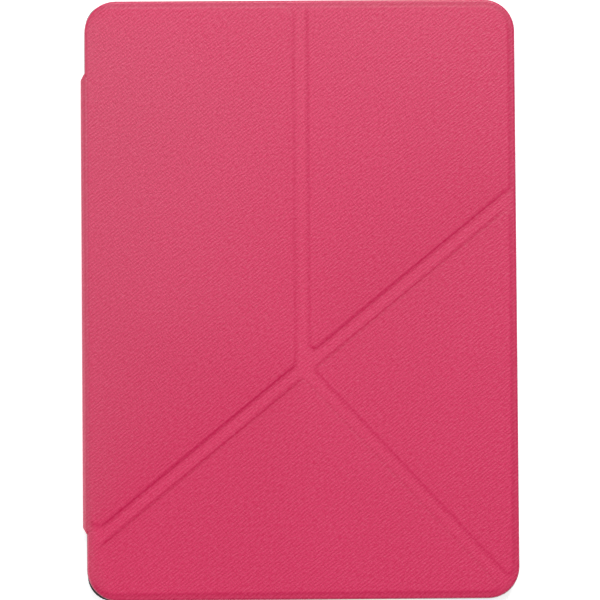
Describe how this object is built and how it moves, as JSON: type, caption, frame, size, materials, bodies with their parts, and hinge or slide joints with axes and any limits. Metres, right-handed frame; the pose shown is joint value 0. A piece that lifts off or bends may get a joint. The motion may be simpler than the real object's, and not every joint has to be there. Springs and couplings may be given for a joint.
{
  "type": "tablet case",
  "caption": "Tablet folio case: clip-on hard shell with a hinged leather cover whose four stiff panels fold along Y-shaped creases into a stand.",
  "frame": {"origin": "middle of the bounding box's underside, on the shell's back, with the case closed", "axes": "+X to the right across the cover, away from the spine; +Y up the cover; +Z out of the cover"},
  "size_m": [0.1772, 0.244, 0.0118],
  "materials": {
    "leather": "pink synthetic leather with a fine slanting grain",
    "lining": "grey microfibre",
    "board": "pressed fibre board",
    "hard_shell": "fine matt texture",
    "magnet": "nickel plated"
  },
  "bodies": {
    "shell": {"back_shell": "hard_shell", "spine_tail": "leather"},
    "spine": {"spine_skin": "leather", "spine_board": "board", "spine_lining": "lining"},
    "gutter": {"gutter_skin": "leather", "gutter_lining": "lining"},
    "upper_left": {"upper_left_skin": "leather", "upper_left_board": "board", "upper_left_lining": "lining", "upper_left_magnets": "magnet"},
    "upper_right": {"upper_right_skin": "leather", "upper_right_board": "board", "upper_right_lining": "lining", "upper_right_magnets": "magnet"},
    "lower_right": {"lower_right_skin": "leather", "lower_right_board": "board", "lower_right_lining": "lining", "lower_right_magnets": "magnet"},
    "bottom": {"bottom_skin": "leather", "bottom_board": "board", "bottom_lining": "lining", "bottom_magnets": "magnet"}
  },
  "joints": [
    {"name": "spine_swing", "type": "hinge", "parent": "shell", "child": "spine", "pos_m": [-0.0872, 0, 0.0014], "axis": [0, -1, 0], "range_deg": [0, 90]},
    {"name": "spine_edge", "type": "hinge", "parent": "spine", "child": "gutter", "pos_m": [-0.08855, 0, 0.0118], "axis": [0, -1, 0], "range_deg": [0, 90]},
    {"name": "cover_opening", "type": "hinge", "parent": "gutter", "child": "upper_left", "pos_m": [-0.0859, 0, 0.01195], "axis": [0, -1, 0], "range_deg": [0, 179]},
    {"name": "upright_crease", "type": "hinge", "parent": "upper_left", "child": "upper_right", "pos_m": [0.001, -0.0277, 0.00955], "axis": [0, 1, 0], "range_deg": [0, 179]},
    {"name": "diagonal_crease", "type": "hinge", "parent": "upper_right", "child": "lower_right", "pos_m": [0.001, -0.0277, 0.00955], "axis": [0.7735, 0.6338, 0], "range_deg": [-93.55, 0]},
    {"name": "corner_crease", "type": "hinge", "parent": "lower_right", "child": "bottom", "pos_m": [0.001, -0.0277, 0.00955], "axis": [0.6804, -0.7328, 0], "range_deg": [0, 101.61]}
  ],
  "couplings": [
    {"joint": "spine_edge", "follows": "spine_swing", "ratio": 1},
    {"joint": "upright_crease", "follows": "spine_swing", "ratio": 1.9889},
    {"joint": "diagonal_crease", "follows": "spine_swing", "ratio": -1.0394},
    {"joint": "corner_crease", "follows": "spine_swing", "ratio": 1.1289}
  ]
}
